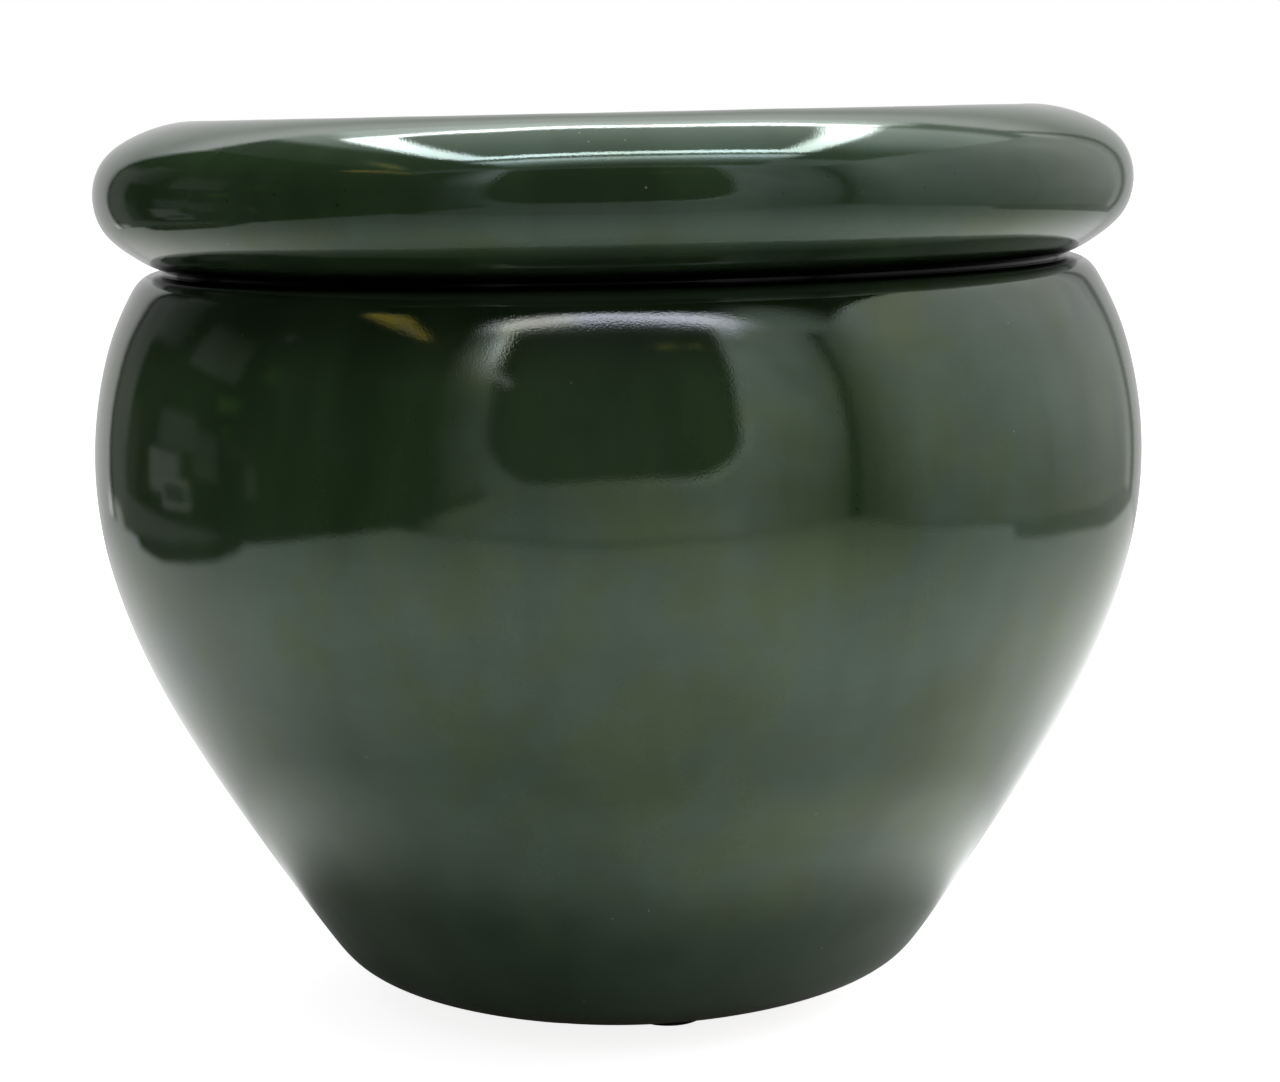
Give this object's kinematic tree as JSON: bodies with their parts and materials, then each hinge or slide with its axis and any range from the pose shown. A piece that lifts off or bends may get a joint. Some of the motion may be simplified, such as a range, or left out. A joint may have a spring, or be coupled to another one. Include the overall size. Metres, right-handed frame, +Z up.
{
  "type": "planter pot",
  "caption": "Round-bellied glazed ceramic pot with a heavy rolled rim over a dark slot, a removable drain plug and rubber feet.",
  "frame": {"origin": "on the pot's axis, at the level of the surface it stands on (the underside of its rubber feet)", "axes": "+Z up along the pot's axis, -Y towards the front, +X to the right seen from the front"},
  "size_m": [0.2, 0.2, 0.17],
  "materials": {
    "green_glaze": "high gloss dark green glaze",
    "plug_rubber": "matte moulded rubber",
    "black_rubber": "matte moulded rubber"
  },
  "bodies": {
    "pot": {"bowl": "green_glaze", "rolled_rim": "green_glaze", "foot_pad_front": "black_rubber", "foot_pad_rear_left": "black_rubber", "foot_pad_rear_right": "black_rubber"},
    "plug": {"drain_plug": "plug_rubber"}
  },
  "joints": [
    {"name": "plug_lift", "type": "slide", "parent": "pot", "child": "plug", "axis": [0, 0, 1], "range_m": [0, 0.175]}
  ]
}
